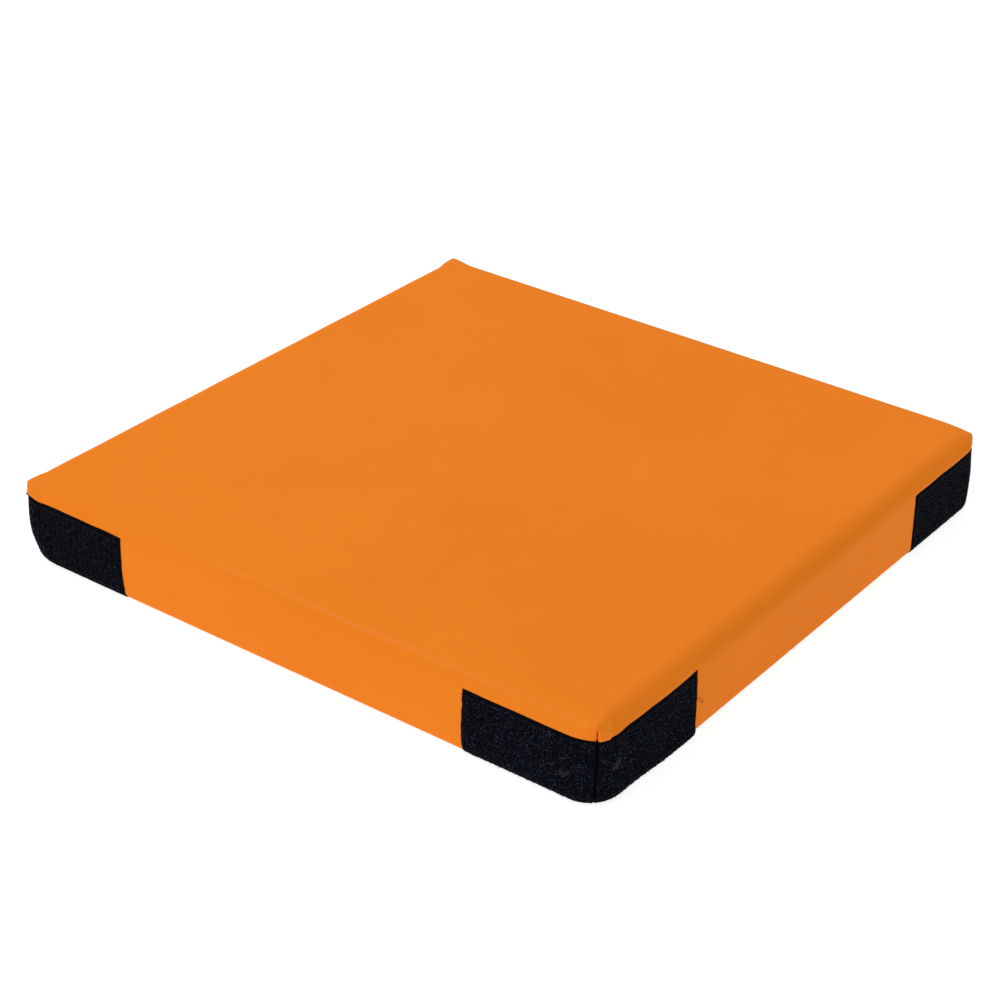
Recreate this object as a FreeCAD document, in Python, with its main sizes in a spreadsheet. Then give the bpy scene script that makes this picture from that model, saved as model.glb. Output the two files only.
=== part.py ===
import FreeCAD, Part
import math
import os
import re

import Sketcher
from FreeCAD import Placement, Rotation, Vector

# A square foam floor pad in a sewn vinyl cover. Hook-and-loop tape on both faces of every corner joins it
# to pads of its own kind, and a zip in the underside lets the foam in.
# Frame: origin at the middle of the underside, +Z up. The front wall faces -Y, the right wall +X.
# Millimetres throughout.
SIZES = {
    "side": (500, "pad, from vinyl wall to vinyl wall"),
    "height": (61.6, "pad, from floor to top"),
    "corner": (20, "radius of the wall corners in plan"),
    "top_round": (15, "radius of the top edges, where the foam rounds the vinyl"),
    "bottom_round": (4, "radius of the bottom edges, down to the base seam"),
    "vinyl": (0.8, "thickness of the vinyl"),
    "base": (1, "thickness of the base panel"),
    "seam_gap": (0.8, "between the vinyl's hem and the base panel"),
    "ease": (0.2, "between the foam and the vinyl"),
    "glue": (0.1, "between the corner tape and the vinyl"),
    "tape": (1.4, "thickness of the corner tape"),
    "tape_low": (0.2, "where the corner tape runs into the base seam"),
    "tape_top": (49.5, "upper selvedge of the corner tape"),
    "tape_split": (1.2, "between the two tapes that meet at a corner seam"),
    "tape_front_left": (100.5, "front tape of the front left corner"),
    "tape_front_right": (104.2, "front tape of the front right corner"),
    "tape_right_front": (108.6, "right tape of the front right corner"),
    "tape_right_rear": (103.5, "right tape of the rear right corner"),
    "tape_hidden": (104, "each of the four tapes on the rear and left walls"),
    "reach": (10, "how far a tape's cutting shape stands outside the walls"),
    "thread": (0.4, "radius of the corner seam thread"),
    "stitch_deep": (0.35, "depth of the groove that a stitch line lies in"),
    "stitch_sunk": (0.05, "from a tape's face to its stitch line"),
    "stitch_wide": (0.8, "width of a stitch line"),
    "stitch_end": (4.5, "from a stitch line to the tape's cut end"),
    "stitch_edge": (3, "from a stitch line to the tape's upper selvedge"),
    "stitch_foot": (6, "height of the lower stitch line"),
    "zip_line": (215, "zip's centre line, from the pad's middle"),
    "slot_long": (224, "half the length of the zip's slot"),
    "slot_wide": (8, "half the width of the zip's slot"),
    "zip_long": (222, "half the length of a zip tape"),
    "zip_lap": (18, "from the zip's centre line to a zip tape's outer edge"),
    "zip_bend": (11, "where a zip tape leaves the base panel"),
    "zip_shelf": (6.5, "where a zip tape is level again"),
    "zip_edge": (1, "from the zip's centre line to a zip tape's inner edge"),
    "web": (0.5, "thickness of a zip tape"),
    "web_low": (4.3, "underside of a zip tape at the coil"),
    "coil_long": (203, "half the length of the coil"),
    "coil_in": (0.75, "from the zip's centre line to a coil row"),
    "coil_out": (2.9, "from the zip's centre line to a coil row's far side"),
    "coil_low": (2.9, "underside of the coil"),
    "stop_gap": (1, "from the coil's end to a stop"),
    "stop_long": (3, "length of a stop"),
    "groove_air": (0.7, "above the zip in the foam's groove"),
    "slider_rest": (196, "middle of the slider with the zip closed"),
    "slider_long": (6.5, "half the length of the slider"),
    "slider_wide": (4.5, "half the width of the slider"),
    "plate": (0.8, "thickness of a slider plate"),
    "outer_plate_low": (1.85, "underside of the slider's outer plate"),
    "inner_plate_low": (5.1, "underside of the slider's inner plate"),
    "flange_in": (3.3, "from the zip's centre line to a slider flange"),
    "flange_top": (3.9, "upper edge of a slider flange"),
    "post_wide": (0.5, "half the width of the post that parts the coil"),
    "post_back": (1.5, "from the slider's middle to the back of its post"),
    "post_front": (6, "from the slider's middle to the front of its post"),
    "lug_in": (1.6, "from the zip's centre line to a lug"),
    "lug_out": (2.2, "from the zip's centre line to a lug's far side"),
    "lug_long": (0.9, "half the length of a lug"),
    "lug_low": (0.35, "lower end of a lug"),
    "bar_level": (0.95, "height of the pull's axis"),
    "pull_bar": (0.35, "radius of the bar that the pull hangs on"),
    "eye": (0.42, "radius of the hole in the pull's eye"),
    "eye_out": (0.8, "outer radius of the pull's eye"),
    "eye_wide": (1.4, "half the width of the pull's eye and neck"),
    "pull_half": (0.4, "half the thickness of the pull"),
    "pull_neck": (3, "from the pull's axis to the end of its neck"),
    "pull_shoulder": (6, "from the pull's axis to its full width"),
    "pull_long": (24, "from the pull's axis to its far end"),
    "pull_wide": (3.5, "half the width of the pull"),
    "pull_tip": (1.5, "cut off each far corner of the pull"),
    "pull_hole_start": (16.5, "from the pull's axis to the slot near its end"),
    "pull_hole_end": (21.5, "from the pull's axis to the slot's far end"),
    "pull_hole_wide": (1.5, "half the width of the slot in the pull"),
    "groove": (0.5, "depth of the groove that holds the zip's stitches"),
    "groove_wide": (0.45, "half the width of that groove"),
    "zip_stitch_line": (14, "from the zip's centre line to its stitches"),
    "zip_stitch_wide": (0.3, "half the width of the zip's stitches"),
    "zip_stitch_low": (0.1, "underside of the zip's stitches"),
    "zip_stitch_deep": (0.3, "thickness of the zip's stitches"),
}
LEVEL = 1e-4

doc = FreeCAD.newDocument("floor_pad")
sub_parts = []


def sized(words):
    """The same expression with each size's name pointing at its cell."""
    return re.sub(r"[a-z_]+", lambda m: f"Sizes.{m.group()}" if m.group() in SIZES else m.group(), words)


def make_sheet():
    sheet = doc.addObject("Spreadsheet::Sheet", "Sizes")
    for row, (alias, (value, meaning)) in enumerate(SIZES.items(), start=1):
        sheet.set(f"A{row}", meaning)
        sheet.set(f"B{row}", str(value))
        sheet.setAlias(f"B{row}", alias)
    doc.recompute()


def keep(thing, label):
    """Names a finished sub-part, which is then written to its own file."""
    thing.Label = label
    sub_parts.append(thing)


def new_body(name):
    return doc.addObject("PartDesign::Body", name)


def sketch_on(body, name, plane, start):
    """A sketch parallel to one of the body's origin planes, at start along the plane's normal."""
    sketch = body.newObject("Sketcher::SketchObject", name)
    support = next(f for f in body.Origin.OriginFeatures if f.Role == plane)
    sketch.AttachmentSupport = [(support, "")]
    sketch.MapMode = "FlatFace"
    sketch.setExpression("AttachmentOffset.Base.z", sized(start))
    return sketch


def place_point(sketch, geometry, point, start, across, up):
    """Ties a point of the sketch to its two distances from the origin."""
    for kind, now, words in (("DistanceX", start.x, across), ("DistanceY", start.y, up)):
        index = sketch.addConstraint(Sketcher.Constraint(kind, -1, 1, geometry, point, now))
        sketch.setExpression(f"Constraints[{index}]", sized(words))


def add_loop(sketch, corners):
    """A closed outline, drawn as a regular polygon whose corners are then tied to their places."""
    first, count, rough = sketch.GeometryCount, len(corners), 50
    ring = []
    for i in range(count):
        angle = 2 * math.pi * (i + 0.5) / count
        ring.append(Vector(rough * math.cos(angle), rough * math.sin(angle), 0))
    for i in range(count):
        sketch.addGeometry(Part.LineSegment(ring[i], ring[(i + 1) % count]), False)
    for i in range(count):
        sketch.addConstraint(Sketcher.Constraint("Coincident", first + i, 2, first + (i + 1) % count, 1))
    for i, (across, up) in enumerate(corners):
        place_point(sketch, first + i, 1, ring[i], across, up)


def add_circle(sketch, across, up, radius):
    middle, rough = Vector(5, 5, 0), 1
    index = sketch.addGeometry(Part.Circle(middle, Vector(0, 0, 1), rough), False)
    place_point(sketch, index, 3, middle, across, up)
    held = sketch.addConstraint(Sketcher.Constraint("Radius", index, rough))
    sketch.setExpression(f"Constraints[{held}]", sized(radius))


def pad(body, name, plane, start, length, loops=(), circles=()):
    """Adds the outlines' solid to the body, from start to start + length along the plane's normal."""
    sketch = sketch_on(body, f"{name}_sketch", plane, start)
    for corners in loops:
        add_loop(sketch, corners)
    for circle in circles:
        add_circle(sketch, *circle)
    feature = body.newObject("PartDesign::Pad", name)
    feature.Profile = sketch
    feature.setExpression("Length", sized(length))
    sketch.Visibility = False
    return feature


def pocket(body, name, plane, start, length, loops=(), circles=()):
    """Cuts the outlines' solid out of the body, and stops if nothing is cut."""
    doc.recompute()
    before = body.Shape.Volume
    sketch = sketch_on(body, f"{name}_sketch", plane, start)
    for corners in loops:
        add_loop(sketch, corners)
    for circle in circles:
        add_circle(sketch, *circle)
    feature = body.newObject("PartDesign::Pocket", name)
    feature.Profile = sketch
    feature.Reversed = True
    feature.setExpression("Length", sized(length))
    doc.recompute()
    if body.Shape.Volume >= before:
        raise ValueError(f"{name} cuts nothing")
    return feature


def fillet(body, name, chosen, radius):
    """Rounds the edges of the body's newest feature that chosen picks."""
    doc.recompute()
    base = body.Tip
    edges = [f"Edge{i}" for i, edge in enumerate(base.Shape.Edges, start=1) if chosen(edge.BoundBox)]
    feature = body.newObject("PartDesign::Fillet", name)
    feature.Base = (base, edges)
    feature.setExpression("Radius", sized(radius))
    doc.recompute()


def rectangle(left, right, low, high):
    return [(left, low), (right, low), (right, high), (left, high)]


def square(half):
    return rectangle(f"-({half})", half, f"-({half})", half)


def rounded_block(name, half, low, high, corner, top="0", bottom="0"):
    """A square block with round wall corners and, where given, round top and bottom edges."""
    body = new_body(name)
    pad(body, f"{name}_block", "XY_Plane", low, f"({high}) - ({low})", [square(half)])
    fillet(body, f"{name}_corners", lambda box: box.XLength + box.YLength < LEVEL, corner)
    ends = body.Shape.BoundBox
    if top != "0":
        fillet(body, f"{name}_top", lambda box: box.ZMin > ends.ZMax - LEVEL, top)
    if bottom != "0":
        fillet(body, f"{name}_bottom", lambda box: box.ZMax < ends.ZMin + LEVEL, bottom)
    return body


def boolean(kind, name, base, tool):
    result = doc.addObject(f"Part::{kind}", name)
    result.Base = base
    result.Tool = tool
    return result


def turn(thing, quarters):
    """Turns a sub-part about the pad's middle, from the front left corner towards the others."""
    thing.Placement = Placement(Vector(0, 0, 0), Rotation(Vector(0, 0, 1), 90 * quarters))


def zip_profile(*points):
    """Points given as (distance from the zip's centre line, height), on the front and on the rear side."""
    return [[(f"zip_line {sign} ({away})", up) for away, up in points] for sign in "-+"]


def make_foam():
    half = "side / 2 - vinyl - ease"
    gap = "vinyl + ease"
    body = rounded_block(
        "foam", half, "base", f"height - ({gap})", f"corner - ({gap})", f"top_round - ({gap})", "bottom_round"
    )
    air = "groove_air"
    crown = "inner_plate_low + plate + groove_air / 2"
    front, rear = zip_profile(
        (f"zip_lap + {air}", "base"),
        (f"zip_lap + {air}", f"base + web + {air}"),
        (f"zip_bend + {air}", f"base + web + {air}"),
        (f"zip_shelf + {air}", crown),
    )
    outline = front + rear[::-1]
    pocket(body, "foam_groove", "YZ_Plane", f"-(zip_long + {air})", f"2 * (zip_long + {air})", [outline])
    keep(body, "foam_core")


def make_cover():
    outer = rounded_block("cover_outer", "side / 2", "0", "height", "corner", "top_round", "bottom_round")
    inner = rounded_block(
        "cover_inner", "side / 2 - vinyl", "vinyl", "height - vinyl", "corner - vinyl",
        "top_round - vinyl", "bottom_round - vinyl",
    )
    mouth = rounded_block(
        "cover_mouth", "side / 2 - bottom_round", "-base", "2 * vinyl", "corner - bottom_round"
    )
    shell = boolean("Cut", "cover_shell", outer, inner)
    keep(boolean("Cut", "cover_cut", shell, mouth), "vinyl_cover")


def make_base():
    inset = "bottom_round + seam_gap"
    body = rounded_block("panel", f"side / 2 - ({inset})", "0", "base", f"corner - ({inset})")
    slot = rectangle("-slot_long", "slot_long", "zip_line - slot_wide", "zip_line + slot_wide")
    pocket(body, "zip_slot", "XY_Plane", "0", "base", [slot])
    for place, sign in (("front", "-"), ("rear", "+")):
        line = f"zip_line {sign} zip_stitch_line"
        run = rectangle("-zip_long", "zip_long", f"{line} - groove_wide", f"{line} + groove_wide")
        pocket(body, f"stitch_groove_{place}", "XY_Plane", "0", "groove", [run])
    keep(body, "base_panel")


def make_base_seam():
    """The thread lies in the gap between the cover's hem and the base panel."""
    margin = "seam_gap / 8"
    low, high = "zip_stitch_low", "zip_stitch_low + zip_stitch_deep"
    outer_in = f"bottom_round + {margin}"
    inner_in = f"bottom_round + seam_gap - {margin}"
    outer = rounded_block("seam_outer", f"side / 2 - ({outer_in})", low, high, f"corner - ({outer_in})")
    inner = rounded_block(
        "seam_inner", f"side / 2 - ({inner_in})", f"{low} - base", f"{high} + base", f"corner - ({inner_in})"
    )
    keep(boolean("Cut", "seam_cut", outer, inner), "base_seam_thread")


def make_corner_seam(label, quarters):
    """A thread that runs down between the two tapes of a corner."""
    thread = doc.addObject("Part::Cylinder", f"{label}_post")
    thread.setExpression("Radius", sized("thread"))
    thread.setExpression("Height", sized("tape_top - stitch_foot"))
    middle = "-(side / 2 - corner + (corner + glue + thread) * sin(45 deg))"
    thread.setExpression("Placement.Base.x", sized(middle))
    thread.setExpression("Placement.Base.y", sized(middle))
    thread.setExpression("Placement.Base.z", sized("stitch_foot"))
    corner = doc.addObject("Part::Compound", f"{label}_corner")
    corner.Links = [thread]
    turn(corner, quarters)
    keep(corner, label)


def make_tape_band():
    """The tape as if it ran all the way round the pad; each tape is a piece of it."""
    outer = rounded_block(
        "band_outer", "side / 2 + glue + tape", "-(glue + tape)", "height", "corner + glue + tape",
        bottom="bottom_round + glue + tape",
    )
    inner = rounded_block(
        "band_inner",
        "side / 2 + glue",
        "-glue",
        "height + base",
        "corner + glue",
        bottom="bottom_round + glue",
    )
    return boolean("Cut", "band", outer, inner)


def make_tape(band, label, quarters, along_x, length):
    """One tape, from its cut end to the corner seam, which runs along the corner's diagonal."""
    deep = "corner + reach"
    split = "tape_split / 2 * sqrt(2)"
    outline = [
        (f"-side / 2 - reach + {split}", "-side / 2 - reach"),
        (f"-side / 2 + {length}", "-side / 2 - reach"),
        (f"-side / 2 + {length}", f"-side / 2 + {deep}"),
        (f"-side / 2 + {deep} + {split}", f"-side / 2 + {deep}"),
    ]
    if not along_x:
        outline = [(up, across) for across, up in outline]
    region = new_body(f"{label}_region")
    pad(region, f"{label}_pad", "XY_Plane", "tape_low", "tape_top - tape_low", [outline])
    turn(region, quarters)
    groove = stitch_ring(f"{label}_groove", quarters, along_x, length, "reach")
    strip = boolean("Common", f"{label}_strip", band, region)
    keep(boolean("Cut", f"{label}_cut", strip, groove), label)


def stitch_ring(name, quarters, along_x, length, top):
    """A ring round a tape, from its stitch groove's bottom to top, which is measured from the tape's face."""
    near, far = "-side / 2 + corner + stitch_wide", f"-side / 2 + {length} - stitch_end"
    low, high = "stitch_foot", "tape_top - stitch_edge"
    outer = rectangle(near, far, low, high)
    inner = rectangle(
        f"{near} + stitch_wide", f"{far} - stitch_wide", f"{low} + stitch_wide", f"{high} - stitch_wide"
    )
    face, tall = "side / 2 + glue + tape", f"{top} + stitch_deep"
    body = new_body(name)
    if along_x:
        pad(body, f"{name}_pad", "XZ_Plane", f"{face} - stitch_deep", tall, [outer, inner])
    else:
        pad(body, f"{name}_pad", "YZ_Plane", f"-({face} + {top})", tall, [outer, inner])
    turn(body, quarters)
    return body


def make_corners():
    """Each corner's seam thread and two tapes, hook and loop at alternate corners."""
    band = make_tape_band()
    corners = (
        ("front_left", "hook", ("front", "tape_front_left"), ("left", "tape_hidden")),
        ("front_right", "loop", ("right", "tape_right_front"), ("front", "tape_front_right")),
        ("rear_right", "hook", ("rear", "tape_hidden"), ("right", "tape_right_rear")),
        ("rear_left", "loop", ("left", "tape_hidden"), ("rear", "tape_hidden")),
    )
    for quarters, (corner, kind, *walls) in enumerate(corners):
        make_corner_seam(f"corner_seam_{corner}", quarters)
        for (wall, length), along_x in zip(walls, (True, False)):
            place = f"{corner}_{wall}_face"
            make_tape(band, f"{kind}_tape_{place}", quarters, along_x, length)
            line = stitch_ring(f"thread_{place}", quarters, along_x, length, "-stitch_sunk")
            keep(line, f"stitching_{place}")


def make_zip_tapes_and_coils():
    """Each zip tape lies on the base panel and steps up into the foam's groove; the coil is under its edge."""
    tapes = zip_profile(
        ("zip_lap", "base"),
        ("zip_bend", "base"),
        ("zip_shelf", "web_low"),
        ("zip_edge", "web_low"),
        ("zip_edge", "web_low + web"),
        ("zip_shelf - web / 2", "web_low + web"),
        ("zip_bend - web / 2", "base + web"),
        ("zip_lap", "base + web"),
    )
    coils = zip_profile(
        ("coil_in", "coil_low"), ("coil_out", "coil_low"), ("coil_out", "web_low"), ("coil_in", "web_low")
    )
    for place, tape, coil in zip(("front", "rear"), tapes, coils):
        body = new_body(f"web_{place}")
        pad(body, f"web_{place}_pad", "YZ_Plane", "-zip_long", "2 * zip_long", [tape])
        keep(body, f"zip_tape_{place}")
        body = new_body(f"coil_{place}")
        pad(body, f"coil_{place}_pad", "YZ_Plane", "-coil_long", "2 * coil_long", [coil])
        keep(body, f"zip_coil_{place}")


def make_zip_stops():
    """One stop on each coil row at the closed end, and one across both rows at the open end."""
    front, rear = zip_profile(
        ("coil_in", "coil_low"), ("coil_out", "coil_low"), ("coil_out", "web_low"), ("coil_in", "web_low")
    )
    both = rectangle("zip_line - coil_out", "zip_line + coil_out", "coil_low", "web_low")
    near, far = "coil_long + stop_gap", "-(coil_long + stop_gap + stop_long)"
    stops = []
    for name, outline, start in (("front", front, near), ("rear", rear, near), ("end", both, far)):
        body = new_body(f"stop_{name}")
        pad(body, f"stop_{name}_pad", "YZ_Plane", start, "stop_long", [outline])
        stops.append(body)
    group = doc.addObject("Part::Compound", "stops")
    group.Links = stops
    keep(group, "zip_end_stops")


def make_zip_stitching():
    """A stitch line on each side of the zip, sunk in the base panel."""
    for place, sign in (("front", "-"), ("rear", "+")):
        line = f"zip_line {sign} zip_stitch_line"
        run = rectangle("-zip_long", "zip_long", f"{line} - zip_stitch_wide", f"{line} + zip_stitch_wide")
        body = new_body(f"run_{place}")
        pad(body, f"run_{place}_pad", "XY_Plane", "zip_stitch_low", "zip_stitch_deep", [run])
        keep(body, f"zip_stitching_{place}")


def make_slider():
    """Two plates and the post between them, flanges that hold the coil in, and the bar for the pull."""
    body = new_body("slider")
    back, front = "slider_rest - slider_long", "slider_rest + slider_long"
    wide = ("zip_line - slider_wide", "zip_line + slider_wide")
    plate = rectangle(back, front, *wide)
    outer_top = "outer_plate_low + plate"
    post_x = ("slider_rest + post_back", "slider_rest + post_front")
    post = rectangle(*post_x, "zip_line - post_wide", "zip_line + post_wide")
    pad(body, "outer_plate", "XY_Plane", "outer_plate_low", "plate", [plate])
    pad(body, "post", "XY_Plane", outer_top, f"inner_plate_low - ({outer_top})", [post])
    pad(body, "inner_plate", "XY_Plane", "inner_plate_low", "plate", [plate])
    flanges = zip_profile(
        ("flange_in", outer_top),
        ("slider_wide", outer_top),
        ("slider_wide", "flange_top"),
        ("flange_in", "flange_top"),
    )
    pad(body, "flanges", "YZ_Plane", back, "2 * slider_long", flanges)
    lugs = zip_profile(
        ("lug_in", "lug_low"),
        ("lug_out", "lug_low"),
        ("lug_out", "outer_plate_low"),
        ("lug_in", "outer_plate_low"),
    )
    pad(body, "lugs", "YZ_Plane", "slider_rest - lug_long", "2 * lug_long", lugs)
    bar = ("slider_rest", "bar_level", "pull_bar")
    pad(body, "bar", "XZ_Plane", "-(zip_line + lug_in)", "2 * lug_in", circles=[bar])
    keep(body, "zip_slider")


def make_pull():
    """A flat tab that lies back along the closed coil, with an eye round the slider's bar."""
    body = new_body("pull")
    pad(
        body, "eye", "XZ_Plane", "-(zip_line + eye_wide)", "2 * eye_wide",
        circles=[("slider_rest", "bar_level", "eye_out")],
    )
    half = [
        ("eye_out / 2", "eye_wide"),
        ("pull_neck", "eye_wide"),
        ("pull_shoulder", "pull_wide"),
        ("pull_long - pull_tip", "pull_wide"),
        ("pull_long", "pull_wide - pull_tip"),
    ]
    near = [(f"slider_rest - {along}", f"zip_line - ({out})") for along, out in half]
    far = [(f"slider_rest - {along}", f"zip_line + {out}") for along, out in half]
    thick = "2 * pull_half"
    pad(body, "tab", "XY_Plane", "bar_level - pull_half", thick, [near + far[::-1]])
    hole = rectangle(
        "slider_rest - pull_hole_end", "slider_rest - pull_hole_start",
        "zip_line - pull_hole_wide", "zip_line + pull_hole_wide",
    )
    pocket(body, "tab_hole", "XY_Plane", "bar_level - pull_half", thick, [hole])
    pocket(
        body, "eye_hole", "XZ_Plane", "-(zip_line + eye_wide)", "2 * eye_wide",
        circles=[("slider_rest", "bar_level", "eye")],
    )
    keep(body, "zip_pull")


def check_and_write():
    doc.recompute()
    failed = [o.Name for o in doc.Objects if {"Invalid", "Error"} & set(o.State)]
    if failed:
        raise ValueError(f"failed objects: {failed}")
    os.makedirs("parts", exist_ok=True)
    for thing in sub_parts:
        shape = thing.Shape
        if shape.isNull() or not shape.isValid() or not shape.Solids:
            raise ValueError(f"{thing.Label} isn't a valid solid")
    for thing in sub_parts:
        thing.Shape.exportStep(f"parts/{thing.Label}.step")
        box = thing.Shape.BoundBox
        print(
            f"{thing.Label}: {len(thing.Shape.Solids)} solid, {thing.Shape.Volume:.1f} mm3, "
            f"x {box.XMin:.2f} {box.XMax:.2f}, y {box.YMin:.2f} {box.YMax:.2f}, "
            f"z {box.ZMin:.2f} {box.ZMax:.2f}"
        )


make_sheet()
make_foam()
make_cover()
make_base()
make_base_seam()
make_corners()
make_zip_tapes_and_coils()
make_zip_stops()
make_zip_stitching()
make_slider()
make_pull()
check_and_write()
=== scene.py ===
import math

import bpy
import numpy as np
from mathutils import Matrix, Vector


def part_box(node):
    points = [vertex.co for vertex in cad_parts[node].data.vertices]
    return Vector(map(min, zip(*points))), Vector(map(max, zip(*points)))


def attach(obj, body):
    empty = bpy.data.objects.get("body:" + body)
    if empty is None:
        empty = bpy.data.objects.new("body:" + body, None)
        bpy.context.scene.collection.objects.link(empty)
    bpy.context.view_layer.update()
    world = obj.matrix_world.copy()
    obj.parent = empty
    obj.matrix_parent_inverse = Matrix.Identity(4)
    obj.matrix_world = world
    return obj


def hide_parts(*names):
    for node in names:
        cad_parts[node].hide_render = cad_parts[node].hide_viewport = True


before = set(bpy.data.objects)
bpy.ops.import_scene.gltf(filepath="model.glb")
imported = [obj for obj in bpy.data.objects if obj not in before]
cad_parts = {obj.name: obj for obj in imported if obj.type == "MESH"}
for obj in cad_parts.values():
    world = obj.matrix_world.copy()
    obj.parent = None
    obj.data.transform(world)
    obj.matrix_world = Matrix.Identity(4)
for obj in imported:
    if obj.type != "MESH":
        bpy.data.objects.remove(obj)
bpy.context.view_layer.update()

# A foam floor pad in a vinyl cover. Sizes below are in millimetres, and make_piece scales them to metres.
MM = 0.001
COVER_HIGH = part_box("vinyl_cover")[1]
HALF = COVER_HIGH.x / MM
TOP = COVER_HIGH.z / MM
TAPE_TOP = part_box("hook_tape_front_left_front_face")[1].z / MM
ZIP_LINE = (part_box("zip_slider")[0].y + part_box("zip_slider")[1].y) / 2 / MM
COIL_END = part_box("zip_coil_front")[1].x / MM
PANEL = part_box("base_panel")[1].x / MM
ZIP_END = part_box("zip_tape_front")[1].x / MM

# The cover's rounding: its top edge is round along the walls and nearly sharp at the four corners, its ears.
EDGE_ROUND = 15.0
EAR_ROUND = 1.8
EAR_REACH = 27.0
BOTTOM_ROUND = 5.5
# How high the top is crowned in its middle, and how late the crown falls away towards the walls.
CROWN = 1.6
CROWN_POWER = 2.4
# The vinyl's thickness, how deep a tape presses it in, and the gap between its hem and the base panel.
VINYL = 0.8
TAPE_PRESS = 0.6
PANEL_GAP = 0.8
# Heights in the vinyl's relief: the walls' belly, the bulge above a tape, the ridge along an ear, the
# unevenness of the walls and the puckers at their foot.
BELLY = 0.7
TAPE_BULGE = 0.75
EAR_RIDGE = 0.45
UNEVEN = 0.22
PUCKER = 0.04
# The corner seams: their grooves' depth and width, the groove above the tapes, how far a tape dives in, the
# width of the folded flap, and how deep the thread lies in an open and in a closed seam.
SEAM_DEEP = 3.4
SEAM_WIDE = 1.5
SEAM_SHALLOW = 1.3
TAPE_DIVE = 2.0
FLAP = 9.0
OPEN_SEAM = 0.05
CLOSED_SEAM = 0.7
HEM_LOW = 0.12
# One tape, at the start of the right wall, stands off a little at its foot towards its cut end.
LOOSE_TAPE = (1, 0)
LOOSE_FOOT = 2.0
# Rows of the mesh over the rounding of the top edge.
EDGE_ROWS = 20

# Each wall's direction along it and its outward normal, and its two tapes: at its start and at its end.
WALLS = (
    ("front", (1, 0), (0, -1), ("front_left", "front_right")),
    ("right", (0, 1), (1, 0), ("front_right", "rear_right")),
    ("rear", (-1, 0), (0, 1), ("rear_right", "rear_left")),
    ("left", (0, -1), (-1, 0), ("rear_left", "front_left")),
)
KINDS = {"front_left": "hook", "front_right": "loop", "rear_right": "hook", "rear_left": "loop"}

# Each corner's plan radius up at the tape's top and down at the floor, how far its tip is drawn down,
# and how far its folded vinyl stands out.
CORNER_SHAPES = {
    "front_left": (17.5, 32.0, 2.2, 0.2),
    "front_right": (19.6, 25.0, 1.0, 2.2),
    "rear_right": (22.0, 24.5, 4.2, 0.2),
    "rear_left": (21.0, 30.0, 0.3, 0.4),
}
# How far each wall leans in at its foot.
LEANS = (1.2, -0.3, 0.5, 0.8)
CORNER_TURN = 40.0
SEAM_TURN = math.radians(14)
MITRE = 3.0
TIP_REACH = 30.0


def smooth(t):
    t = np.clip(t, 0, 1)
    return t * t * (3 - 2 * t)


def hump(offset, reach):
    """A smooth hump over an offset: 1 at its middle, and almost 0 at twice its reach."""
    return np.exp(-((offset / reach) ** 2))


def waves(points, length, seed):
    """A smooth random field of about unit height over the points, with bumps about length across."""
    rng = np.random.default_rng(seed)
    count = 9
    points = np.asarray(points, float)
    total = np.zeros(points.shape[:-1])
    for _ in range(count):
        way = rng.normal(size=points.shape[-1])
        way *= 2 * math.pi / length / np.linalg.norm(way) * rng.uniform(0.6, 1.5)
        total += np.sin(points @ way + rng.uniform(0, 2 * math.pi))
    return total / math.sqrt(count / 2)


# ---------------------------------------------------------------- the cover's surface


def tape_length(wall, end):
    """The tape's length along its wall, from the sharp corner to its cut end."""
    name, along, _, corners = WALLS[wall]
    corner = corners[end]
    low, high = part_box(f"{KINDS[corner]}_tape_{corner}_{name}_face")
    axis = 0 if along[0] else 1
    near_middle = min(abs(low[axis]), abs(high[axis])) / MM
    return HALF - near_middle


LENGTHS = [[tape_length(wall, end) for end in (0, 1)] for wall in range(4)]


def by_end(w, at_start, at_end):
    """A value for each w: at_start on the wall's first half and at_end on its second."""
    return np.where(w < 0, at_start, at_end)


def edge_round(w):
    """Radius of the top edge at w, which runs from -1 to 1 along a wall between its two corner seams."""
    return EAR_ROUND + (EDGE_ROUND - EAR_ROUND) * smooth(HALF * (1 - np.abs(w)) / EAR_REACH) ** 0.7


def corner_radius(wall, w, z):
    corners = WALLS[wall][3]
    first, last = (CORNER_SHAPES[corner] for corner in corners)
    high, low = by_end(w, first[0], last[0]), by_end(w, first[1], last[1])
    return high + (low - high) * smooth((CORNER_TURN - z) / CORNER_TURN) ** 2.2


def outline(wall, w, z):
    """Plan position (along, out) and plan normal of the wall line at w and height z."""
    turn = math.pi / 4 - SEAM_TURN * smooth((z - 28) / 22)
    radius = corner_radius(wall, w, z) * (1 - math.cos(math.pi / 4)) / (1 - np.cos(turn))
    reach = radius * (np.sin(turn) + 1 - np.cos(turn))
    away = HALF * np.abs(w)
    angle = np.clip((away - (HALF - reach)) / reach, 0, 1) * turn
    bent = away > HALF - reach
    side = np.where(w < 0, -1.0, 1.0)
    along = np.where(bent, HALF - reach + radius * np.sin(angle), away) * side
    out = np.where(bent, HALF - radius * (1 - np.cos(angle)), HALF)
    facing = angle + (math.pi / 4 - turn) * smooth(1 - HALF * (1 - np.abs(w)) / MITRE)
    return along, out, np.sin(facing) * side, np.cos(facing)


def inset(w, z):
    """How far the surface has turned in from the wall line at height z."""
    edge = edge_round(w)
    low = np.clip(BOTTOM_ROUND - z, 0, BOTTOM_ROUND)
    high = np.clip(z - (TOP - edge), 0, edge)
    at_foot = BOTTOM_ROUND - np.sqrt(BOTTOM_ROUND**2 - low**2)
    at_top = edge - np.sqrt(np.maximum(edge**2 - high**2, 0))
    return at_foot + at_top


def under_tape(wall, w, z):
    """1 where a tape presses the vinyl in, and 0 away from it."""
    away = HALF * (1 - np.abs(w))
    length = by_end(w, *LENGTHS[wall])
    return smooth((length + 0.5 - away) / 1.5) * smooth((TAPE_TOP + 0.5 - z) / 1.2)


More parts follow.
